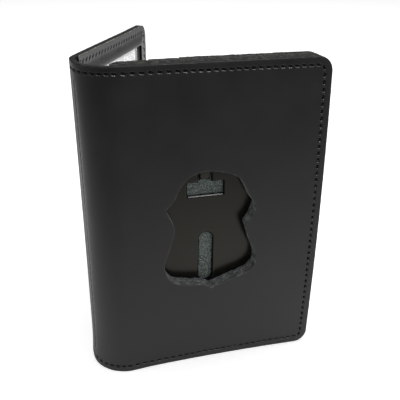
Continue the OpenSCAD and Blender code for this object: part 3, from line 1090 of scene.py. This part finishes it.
feltFinish = {
    "fluffScale": 180.0, "fluffShare": 0.85, "patchScale": 70.0, "patchShare": 0.25, "bump": 0.0005,
    "dark": (0.012, 0.022, 0.022), "middle": (0.072, 0.097, 0.09), "light": (0.36, 0.41, 0.375),
}


def makeFelt():
    material, tree, surface, plan = startMaterial("greyGreenFelt", {
        "Roughness": 0.95, "Sheen Weight": 0.25, "Sheen Roughness": 0.5})
    fluff = addNode(tree, "ShaderNodeTexNoise", {
        "Scale": feltFinish["fluffScale"], "Detail": 3.0, "Roughness": 0.75})
    patches = addNode(tree, "ShaderNodeTexNoise", {
        "Scale": feltFinish["patchScale"], "Detail": 4.0, "Roughness": 0.6})
    wire(tree, (plan, fluff.inputs["Vector"]), (plan, patches.inputs["Vector"]))
    mixed = mathNode(tree, "MULTIPLY_ADD", patches.outputs["Fac"], feltFinish["patchShare"],
                     mathNode(tree, "MULTIPLY", fluff.outputs["Fac"], feltFinish["fluffShare"]))
    colour = rampNode(tree, mixed, [
        (0.36, feltFinish["dark"]), (0.53, feltFinish["middle"]), (0.7, feltFinish["light"])])
    wire(tree, (colour, surface.inputs["Base Color"]))
    bumpNode(tree, surface, fluff.outputs["Fac"], feltFinish["bump"])
    return material


threadFinish = {
    "plyScale": 260.0, "dark": (0.002, 0.002, 0.002), "light": (0.005, 0.005, 0.005),
    "smooth": 0.6, "rough": 0.85, "bump": 0.00008,
}


def makeThread():
    material, tree, surface, plan = startMaterial("blackThread", {"Specular IOR Level": 0.2})
    ply = addNode(tree, "ShaderNodeTexWave", {
        "Scale": threadFinish["plyScale"], "Distortion": 0.6, "Detail": 1.0}, bands_direction="DIAGONAL")
    colour = rampNode(tree, ply.outputs["Fac"], [(0.2, threadFinish["dark"]), (0.8, threadFinish["light"])])
    rough = rangeNode(tree, ply.outputs["Fac"], threadFinish["rough"], threadFinish["smooth"])
    wire(tree, (plan, ply.inputs["Vector"]), (colour, surface.inputs["Base Color"]),
         (rough, surface.inputs["Roughness"]))
    bumpNode(tree, surface, ply.outputs["Fac"], threadFinish["bump"])
    return material


cardFinish = {
    "pulpScale": 180.0, "dark": (0.88, 0.885, 0.885), "light": (0.92, 0.925, 0.925),
    "smooth": 0.45, "rough": 0.6, "bump": 0.00003,
}


def makeCardPaper():
    material, tree, surface, plan = startMaterial("whiteCard", {})
    pulp = addNode(tree, "ShaderNodeTexNoise", {
        "Scale": cardFinish["pulpScale"], "Detail": 5.0, "Roughness": 0.6})
    colour = rampNode(tree, pulp.outputs["Fac"], [(0.3, cardFinish["dark"]), (0.7, cardFinish["light"])])
    rough = rangeNode(tree, pulp.outputs["Fac"], cardFinish["smooth"], cardFinish["rough"])
    wire(tree, (plan, pulp.inputs["Vector"]), (colour, surface.inputs["Base Color"]),
         (rough, surface.inputs["Roughness"]))
    bumpNode(tree, surface, pulp.outputs["Fac"], cardFinish["bump"])
    return material


liningFinish = {
    "threads": 70.0, "dark": (0.006, 0.006, 0.0065), "light": (0.02, 0.02, 0.021),
    "smooth": 0.6, "rough": 0.75, "bump": 0.0001,
}


def makeLiningCloth():
    material, tree, surface, plan = startMaterial("blackLiningCloth", {})
    weave = placeGroup(tree, weaveGroup, plan, {"Threads": liningFinish["threads"]})
    colour = rampNode(tree, weave.outputs["Height"], [
        (0.1, liningFinish["dark"]), (0.7, liningFinish["light"])])
    rough = rangeNode(tree, weave.outputs["Height"], liningFinish["rough"], liningFinish["smooth"])
    wire(tree, (colour, surface.inputs["Base Color"]), (rough, surface.inputs["Roughness"]))
    bumpNode(tree, surface, weave.outputs["Height"], liningFinish["bump"])
    return material


vinylFinish = {
    "colour": (0.99, 0.995, 1, 1), "refraction": 1.46, "rippleScale": 9.0, "smooth": 0.02, "rough": 0.05,
    "bump": 0.0001,
}


def makeVinyl():
    material, tree, surface, plan = startMaterial("clearVinyl", {
        "Base Color": vinylFinish["colour"], "Transmission Weight": 1.0, "IOR": vinylFinish["refraction"]})
    ripples = addNode(tree, "ShaderNodeTexNoise", {
        "Scale": vinylFinish["rippleScale"], "Detail": 3.0, "Roughness": 0.5})
    rough = rangeNode(tree, ripples.outputs["Fac"], vinylFinish["smooth"], vinylFinish["rough"], 0.3, 0.7)
    wire(tree, (plan, ripples.inputs["Vector"]), (rough, surface.inputs["Roughness"]))
    bumpNode(tree, surface, ripples.outputs["Fac"], vinylFinish["bump"])
    lightPath = addNode(tree, "ShaderNodeLightPath")        # its shadow lets the light through
    clear = addNode(tree, "ShaderNodeBsdfTransparent")
    either = addNode(tree, "ShaderNodeMixShader")
    out = tree.nodes["Material Output"]
    wire(tree, (lightPath.outputs["Is Shadow Ray"], either.inputs[0]), (surface.outputs[0], either.inputs[1]),
         (clear.outputs[0], either.inputs[2]), (either.outputs[0], out.inputs["Surface"]))
    return material


coverLeather = makeCoverLeather()
backingLeather = makeBackingLeather()
pocketLeather = makePocketLeather()
frameLeather = makeFrameLeather()
fleshSide = makeFleshSide()
dyedEdge = makeDyedEdge()
glossyEdge = makeGlossyEdge()
cutEdge = makeCutEdge()
boardOuterEdge = makeBoardOuterEdge()
boardEdge = makeBoardEdge()
rawEdge = makeRawEdge()
paleEdge = makePaleEdge()
feltEdge = makeFeltEdge()
feltMaterial = makeFelt()
threadMaterial = makeThread()
cardMaterial = makeCardPaper()
liningMaterial = makeLiningCloth()
vinylMaterial = makeVinyl()
print("materials made:", len(bpy.data.materials))


# the cover, as two skins that meet past the stiff part of the spine
coverPlan = {"gridStep": 2.6, "curveStep": 0.4, "rowStep": 3.0, "innerMargin": 1.0, "innerRowStep": 6.0}
foldBlend = {"start": -0.2, "depth": 1.0}
frontCover = {
    "start": foldLength - curveLength,          # the front skin takes in the stiff part of the spine
    "rounding": 0.32, "rows": 4, "rough": 0.05, "seed": 0.0, "holeRounding": 0.1,
}
backCover = {"start": -foldLength, "rounding": 0.32, "rows": 4, "rough": 0.05, "seed": 20}


def skinPoints(middles, start):
    low = seamArea
    high = height - seamArea
    flat = gridPoints(0, panel - seamArea, low, high, coverPlan["gridStep"], coverPlan["gridStep"])
    curve = gridPoints(start, 0, low, high, coverPlan["curveStep"], coverPlan["rowStep"])
    return seamBand(middles, start) + flat + curve


def innerCurve(start):
    margin = coverPlan["innerMargin"]
    return gridPoints(start, 0, margin, height - margin, coverPlan["curveStep"], coverPlan["innerRowStep"])


def foldSpan(place):
    # where the bending of a fold starts and ends, at the leather's mid-thickness
    return [place(s, height / 2, foldBlend["depth"]) for s in (foldBlend["start"], -foldLength)]


def makeFrontSkin():
    start = frontCover["start"]
    skin = sheetPiece(
        "frontCoverSkin", [panelLoop(start), cutOutLoop()], (0, leather), frontPoint,
        [coverLeather, dyedEdge, fleshSide, cutEdge], None, frontCover,
        outerPoints=skinPoints(frontMiddles, start), innerPoints=innerCurve(start), flatEnd=start,
        holeRows=edgeRows(leather, frontCover["holeRounding"], frontCover["rows"]))
    foldStart, foldEnd = foldSpan(frontPoint)
    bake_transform(skin, "front_panel", "spine", start=foldStart, end=foldEnd)
    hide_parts("front_cover", "front_fold", "spine_leather")
    return skin


def makeBackSkin():
    start = backCover["start"]
    skin = sheetPiece(
        "backCoverSkin", [panelLoop(start)], (0, leather), backPoint, [coverLeather, dyedEdge, fleshSide],
        None, backCover, outerPoints=skinPoints(backMiddles, start),
        innerPoints=innerCurve(start), flatEnd=start)
    foldStart, foldEnd = foldSpan(backPoint)
    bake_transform(skin, "back_panel", "spine", start=foldStart, end=foldEnd)
    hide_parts("back_cover", "back_fold")
    return skin


frontSkin = makeFrontSkin()
backSkin = makeBackSkin()
print("cover skins made:", len(frontSkin.data.vertices), len(backSkin.data.vertices))


# layers of the badge side
board = {
    "start": -2.2, "rounding": 0.25, "rows": 7, "rough": 0.16, "seed": 31,
    "grow": -0.05, "waistGrow": 1.0,            # its cut-out against the cover's
}


def makeBoard():
    loops = [panelLoop(board["start"]), cutOutLoop(board["grow"], board["waistGrow"])]
    piece = sheetPiece(
        "fibreBoard", loops, nodeSpan("recess_spacer")[1], innerPoint,
        [boardEdge, boardOuterEdge, boardEdge, boardEdge], "front_panel", board)
    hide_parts("recess_spacer")


backing = {
    "start": -1.2, "rounding": 0.32, "rows": 2, "rough": 0.06, "seed": 42,
    "bevel": {"width": 0.42, "angle": 42.3, "lead": 0.12, "cutRows": (0.15, 0.6, 1.0)},
    "tabReach": 0.2, "tabCurve": 1.5, "grid": (10, 50, 30, 85), "gridStep": 1.6,
}


def tabBend(s, z):
    # the small tab above the hinge window is pressed in a little
    x, zMiddle = fittings["windowMiddle"]
    edge = zMiddle + fittings["window"][1] / 2 + fittings["tabLift"]
    past = z > edge + fittings["slitLength"] or z < edge - backing["tabReach"]
    if past or abs(s - x - fittings["tabShift"]) > fittings["tabWidth"] / 2:
        return 0.0
    return fittings["tabPush"] * (1 - (z - edge) / fittings["slitLength"]) ** backing["tabCurve"]


def makeBacking():
    low, high = nodeSpan("badge_backing")[1]
    piece = sheetPiece(
        "badgeBackingLeather", [panelLoop(backing["start"]), windowLoop(), slotLoop()], (low, high),
        innerPoint, [backingLeather, dyedEdge, fleshSide, glossyEdge], "front_panel",
        backing, outerPoints=gridPoints(*backing["grid"], backing["gridStep"], backing["gridStep"]),
        shift=tabBend, holeRows=bevelRows(high - low, backing["bevel"]))
    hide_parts("badge_backing")


felt = {
    "start": -0.3, "rounding": 0.1, "rows": 2, "rough": 0.15, "seed": 53,
    "fluff": ((0.12, 1.6, 3), (0.06, 4, 5)),            # depth, closeness and slice of the noise
    "underWindow": (-8, 8, -3, 7), "underSlot": (-3.5, 3.5, -11.6, 11.6), "step": 0.3,
}


def fluffDip(s, z):
    dip = 0.0
    for depth, closeness, cut in felt["fluff"]:
        dip += depth * noise.noise(Vector((s * closeness, z * closeness, cut)))
    return dip


def fluffPoints(middle, span):
    x, z = middle
    left, right, low, high = span
    return gridPoints(x + left, x + right, z + low, z + high, felt["step"], felt["step"], fluffDip)


def makeFeltSheet():
    piece = sheetPiece(
        "feltSheet", [panelLoop(felt["start"])], nodeSpan("felt_backer")[1], innerPoint,
        [feltMaterial, feltEdge, feltMaterial], "front_panel", felt,
        outerPoints=fluffPoints(fittings["windowMiddle"], felt["underWindow"])
        + fluffPoints(fittings["slotMiddle"], felt["underSlot"]))
    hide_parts("felt_backer")


pockets = {
    "nodes": ("card_pocket_base", "card_pocket_1", "card_pocket_2"), "names": ("Base", "One", "Two"),
    "rounding": 0.3, "rows": 2, "rough": 0.12, "seeds": (60, 67, 74),
    "lift": 0.25, "liftReach": 7.0,                     # their mouths stand open a little
    "creaseInset": 2.0, "creaseDepth": 0.12, "creaseWidth": 0.3, "creaseSpan": (0.6, 4.6),
    "creaseStep": 0.25, "creaseRowStep": 4.0, "plainStart": 6, "plainStep": 3.5,
    "seamStart": 0.4, "seamUnder": 0.5, "threadClear": 1.2,
}
pocketStarts = [nodeSpan(node)[0][0] for node in pockets["nodes"]]


def mouthLift(mouth):
    return lambda s, z: pockets["lift"] * math.exp(-max(0, s - mouth) / pockets["liftReach"])


def creaseDip(mouth):
    middle = pockets["creaseInset"]
    width = pockets["creaseWidth"]
    return lambda s, z: pockets["creaseDepth"] * math.exp(-((s - mouth - middle) / width) ** 2)


def pocketPoints(mouth, bandEnd):
    low = seamArea
    high = height - seamArea
    first, last = pockets["creaseSpan"]
    points = seamBand(frontMiddles, mouth + pockets["seamStart"], bandEnd, seam["innerSlant"])
    points += gridPoints(
        mouth + first, mouth + last, low, high, pockets["creaseStep"], pockets["creaseRowStep"],
        creaseDip(mouth))
    return points + gridPoints(
        mouth + pockets["plainStart"], panel - seamArea, low, high, pockets["plainStep"],
        pockets["plainStep"])


def makePocket(i):
    # one card pocket, sewn down as far as the mouth of the next one
    mouth = pocketStarts[i]
    node = pockets["nodes"][i]
    onTop = i == len(pocketStarts) - 1
    bandEnd = seamHalf if onTop else pocketStarts[i + 1] + pockets["seamUnder"]
    piece = sheetPiece(
        "pocket" + pockets["names"][i], [panelLoop(mouth)], nodeSpan(node)[1], innerPoint,
        [pocketLeather, rawEdge, pocketLeather], "front_panel",
        {**pockets, "seed": pockets["seeds"][i]}, innerPoints=pocketPoints(mouth, bandEnd),
        shift=mouthLift(mouth))
    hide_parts(node)


makeBoard()
makeBacking()
makeFeltSheet()
for pocketOrder in range(len(pocketStarts)):
    makePocket(pocketOrder)
print("badge side made")


# layers of the ID side
lining = {"rounding": 0.1, "rows": 2, "rough": 0.1, "seed": 80}
windowSpan = nodeSpan("id_window", True)


def makeLining():
    span = nodeSpan("back_lining", True)
    piece = sheetPiece(
        "liningSheet", [panelLoop(span[0][0])], span[1], backPoint,
        [liningMaterial, dyedEdge, liningMaterial], "back_panel", lining)
    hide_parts("back_lining")


card = {
    "rounding": 0.05, "rows": 1, "rough": 0.0, "seed": 0.0,
    "corner": 2.5, "trim": 2.1, "thick": 0.18, "gap": 0.022,        # the gap to the clear sheet
}


def makeCard():
    span = nodeSpan("id_card", True)
    low = (span[0][0], span[2][0])
    high = (span[0][1] - card["trim"], span[2][1])
    top = windowSpan[1][0] - card["gap"]
    piece = sheetPiece(
        "blankCard", [boxLoop(low, high, card["corner"])], (top - card["thick"], top), backPoint,
        [cardMaterial, cardMaterial, cardMaterial], "id_card", card)
    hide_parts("id_card")


window = {"rounding": 0.06, "rows": 1, "rough": 0.0, "seed": 0.0, "corner": 0.6, "trim": 2.1}


def makeWindow():
    low = (windowSpan[0][0], windowSpan[2][0])
    high = (windowSpan[0][1] - window["trim"], windowSpan[2][1])
    piece = sheetPiece(
        "clearWindow", [boxLoop(low, high, window["corner"])], windowSpan[1], backPoint,
        [vinylMaterial, vinylMaterial, vinylMaterial], "back_panel", window)
    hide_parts("id_window")


idFrame = {
    "rounding": 0.3, "rows": 3, "rough": 0.08, "seed": 90,
    "lap": 3.0, "thumbGap": 5.3, "trim": 1.6, "corner": 1.2,        # its opening against the clear sheet
    "pressedAtSpine": 0.5, "pressedAtEdge": 0.33, "pressReach": 4.5, "pressStart": 0.3,
    "seamStart": 0.5, "gridStart": 0.6, "gridStep": 0.8, "threadStart": 2.6,
}
frameSpan = nodeSpan("id_frame", True)


def framePress(s, z):
    # the frame lies on the lining along its stitched edges and rises over the window sheet
    away = min(z, height - z, panel - s) - seam["inset"] - idFrame["pressStart"]
    settled = 1 - clamped(away / idFrame["pressReach"])
    settled *= settled * (3 - 2 * settled)
    atSpine = idFrame["pressedAtSpine"]
    pressed = atSpine + (idFrame["pressedAtEdge"] - atSpine) * s / panel
    return -pressed * settled


def makeIdFrame():
    start = frameSpan[0][0]
    lap = idFrame["lap"]
    low = (windowSpan[0][0] + lap, windowSpan[2][0] + lap)
    high = (windowSpan[0][1] + idFrame["thumbGap"] - idFrame["trim"], windowSpan[2][1] - lap)
    relief = seamBand(backMiddles, start + idFrame["seamStart"], seamHalf, seam["innerSlant"])
    relief += gridPoints(
        start + idFrame["gridStart"], panel - seamArea, seamArea, height - seamArea, idFrame["gridStep"],
        idFrame["gridStep"])
    piece = sheetPiece(
        "idFrameLeather", [panelLoop(start), boxLoop(low, high, idFrame["corner"])[::-1]],
        (windowSpan[1][1], frameSpan[1][1]), backPoint, [fleshSide, paleEdge, frameLeather], "back_panel",
        idFrame, innerPoints=relief, shift=framePress)
    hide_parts("id_frame")


makeLining()
makeCard()
makeWindow()
makeIdFrame()
print("ID side made")


# stitching


def makeFrontThread():
    piece = threads("frontThreadOutside", frontMiddles, frontPoint, 0.0, 1, 0, seamHalf, "front_panel")
    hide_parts("front_seam_outer")


def makeBackThread():
    piece = threads("backThreadOutside", backMiddles, backPoint, 0.0, 1, 0, seamHalf, "back_panel")
    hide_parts("back_seam_outer")


def makeFrontFoldThread():
    piece = threads("frontFoldThread", frontMiddles, frontPoint, 0.0, 1, -foldLength, 0, None)
    foldStart, foldEnd = foldSpan(frontPoint)
    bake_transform(piece, "front_panel", "spine", start=foldStart, end=foldEnd)
    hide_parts("front_fold_seam")


def makeSpineThread():
    start = frontCover["start"]
    piece = threads("spineThread", frontMiddles, frontPoint, 0.0, 1, start, -foldLength, "spine")
    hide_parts("spine_seam")


def makeBackFoldThread():
    piece = threads("backFoldThread", backMiddles, backPoint, 0.0, 1, -foldLength, 0, None)
    foldStart, foldEnd = foldSpan(backPoint)
    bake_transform(piece, "back_panel", "spine", start=foldStart, end=foldEnd)
    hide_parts("back_fold_seam")


def makeInnerThreads():
    # one run of stitches on each card pocket; the top one stands for the CAD's whole row
    clear = pockets["threadClear"]
    for i, start in enumerate(pocketStarts):
        onTop = i == len(pocketStarts) - 1
        end = seamHalf if onTop else pocketStarts[i + 1] - clear
        faceDepth = nodeSpan(pockets["nodes"][i])[1][1]
        piece = threads("frontThreadInside" + pockets["names"][i], frontMiddles, innerPoint, faceDepth, -1,
                        start + clear, end, "front_panel")
        if onTop:
            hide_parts("front_seam_inner")


def makeBackInnerThread():
    start = frameSpan[0][0] + idFrame["threadStart"]
    piece = threads("backThreadInside", backMiddles, backPoint, frameSpan[1][1], -1, start, seamHalf,
                    "back_panel", framePress)
    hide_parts("back_seam_inner")


makeFrontThread()
makeBackThread()
makeFrontFoldThread()
makeSpineThread()
makeBackFoldThread()
makeInnerThreads()
makeBackInnerThread()
print("stitching made")


# floor, light and camera
# what glossy rays see of the floor is painted light: a bright pool round the object, painted shade farther
# out and a painted glow near it; camera and diffuse rays see the floor's even pale colour
floorLook = {
    "size": 12.0, "colour": (0.93, 0.93, 0.93), "glow": 0.5,
    "farShade": (0.08, 0.08, 0.081), "paintedGlossGlow": 0.16,             # painted shade and a painted glow, seen only in reflections
    "poolMiddle": (0.13, 0.31, 0), "poolFrom": 0.36, "poolTo": 0.66,
}


def makeFloor():
    half = floorLook["size"] / 2
    data = bpy.data.meshes.new("paleFloor")
    corners = [(-half, -half, 0), (half, -half, 0), (half, half, 0), (-half, half, 0)]
    data.from_pydata(corners, [], [(0, 1, 2, 3)])
    floor = bpy.data.objects.new("paleFloor", data)
    bpy.context.scene.collection.objects.link(floor)
    data.materials.append(makeFloorPaper())


def makeFloorPaper():
    material = bpy.data.materials.new("palePaper")
    material.use_nodes = True
    tree = material.node_tree
    surface = tree.nodes["Principled BSDF"]
    surface.inputs["Roughness"].default_value = 1.0
    surface.inputs["Specular IOR Level"].default_value = 0.0
    surface.inputs["Emission Color"].default_value = (1, 1, 1, 1)
    lightPath = addNode(tree, "ShaderNodeLightPath")
    # painted reflection: for glossy rays the floor's colour fades to painted shade away from the pool's
    # middle
    position = addNode(tree, "ShaderNodeNewGeometry")
    away = addNode(tree, "ShaderNodeVectorMath", operation="DISTANCE")
    away.inputs[1].default_value = floorLook["poolMiddle"]
    shade = addNode(tree, "ShaderNodeMix", data_type="RGBA")
    shade.inputs["A"].default_value = (*floorLook["colour"], 1)
    shade.inputs["B"].default_value = (*floorLook["farShade"], 1)
    wire(tree, (position.outputs["Position"], away.inputs[0]))
    far = rangeNode(tree, away.outputs["Value"], 0.0, 1.0, floorLook["poolFrom"], floorLook["poolTo"])
    seen = mathNode(tree, "MULTIPLY", far, lightPath.outputs["Is Glossy Ray"])
    wire(tree, (seen, shade.inputs["Factor"]), (shade.outputs["Result"], surface.inputs["Base Color"]))
    # painted glow near the pool, for glossy rays only; camera rays get an even glow
    near = mathNode(tree, "SUBTRACT", lightPath.outputs["Is Glossy Ray"], seen)
    glow = mathNode(tree, "MULTIPLY", lightPath.outputs["Is Camera Ray"], floorLook["glow"])
    glow = mathNode(tree, "MULTIPLY_ADD", near, floorLook["paintedGlossGlow"], glow)
    wire(tree, (glow, surface.inputs["Emission Strength"]))
    return material


sky = {"strength": 0.4, "strengthInGloss": 0.12}


def makeSky():
    world = bpy.data.worlds.new("whiteRoom")
    bpy.context.scene.world = world
    world.use_nodes = True
    tree = world.node_tree
    background = tree.nodes["Background"]
    background.inputs["Color"].default_value = (1, 1, 1, 1)
    lightPath = addNode(tree, "ShaderNodeLightPath")
    seen = rangeNode(tree, lightPath.outputs["Is Camera Ray"], sky["strength"], 1.0)
    change = sky["strengthInGloss"] - sky["strength"]
    glossy = mathNode(tree, "MULTIPLY_ADD", lightPath.outputs["Is Glossy Ray"], change, seen)
    wire(tree, (glossy, background.inputs["Strength"]))


softboxes = [
    {"name": "overheadSoftbox", "place": (0.05, 0.15, 0.9), "aim": (0, 0, 0.05), "size": 1.1, "power": 4.2},
    {"name": "highStrobe", "place": (0.2125, -0.463, 0.765), "aim": (0, 0, 0.06), "size": 0.1, "power": 5.0,
     "glintOnly": True},
    {"name": "leftSoftbox", "place": (-0.9, -0.1, 0.55), "aim": (0, 0, 0.06), "size": 0.8, "power": 1.2},
    {"name": "rightSoftbox", "place": (0.85, -0.12, 0.45), "aim": (0, 0, 0.06), "size": 0.8, "power": 3.5},
]


def makeLights():
    for softbox in softboxes:
        lamp = bpy.data.lights.new(softbox["name"], "AREA")
        lamp.energy = softbox["power"]
        lamp.size = softbox["size"]
        holder = bpy.data.objects.new(softbox["name"], lamp)
        bpy.context.scene.collection.objects.link(holder)
        holder.visible_diffuse = not softbox.get("glintOnly", False)
        holder.location = softbox["place"]
        way = Vector(softbox["aim"]) - Vector(softbox["place"])
        holder.rotation_euler = way.to_track_quat("-Z", "Y").to_euler()


viewpoint = {                   # camera fitted to the photograph's outline
    "place": (-0.05352, -0.22552, 0.16046), "yaw": 15.32, "pitch": 25.13, "roll": 0.41,
    "lens": 52.36, "sensor": 36.0, "clipStart": 0.01,
}


def makeCamera():
    lens = bpy.data.cameras.new("viewCamera")
    lens.lens = viewpoint["lens"]
    lens.sensor_width = viewpoint["sensor"]
    lens.clip_start = viewpoint["clipStart"]
    camera = bpy.data.objects.new("viewCamera", lens)
    bpy.context.scene.collection.objects.link(camera)
    yaw, pitch, roll = (math.radians(viewpoint[key]) for key in ("yaw", "pitch", "roll"))
    forward = Vector((math.sin(yaw) * math.cos(pitch), math.cos(yaw) * math.cos(pitch), -math.sin(pitch)))
    levelRight = Vector((math.cos(yaw), -math.sin(yaw), 0))
    levelUp = levelRight.cross(forward)
    right = levelRight * math.cos(roll) + levelUp * math.sin(roll)
    up = levelUp * math.cos(roll) - levelRight * math.sin(roll)
    x, y, z = viewpoint["place"]
    camera.matrix_world = Matrix((
        (right.x, up.x, -forward.x, x), (right.y, up.y, -forward.y, y), (right.z, up.z, -forward.z, z),
        (0, 0, 0, 1)))
    bpy.context.scene.camera = camera


makeFloor()
makeSky()
makeLights()
makeCamera()
bpy.context.scene.view_settings.view_transform = "Standard"
print("studio made")
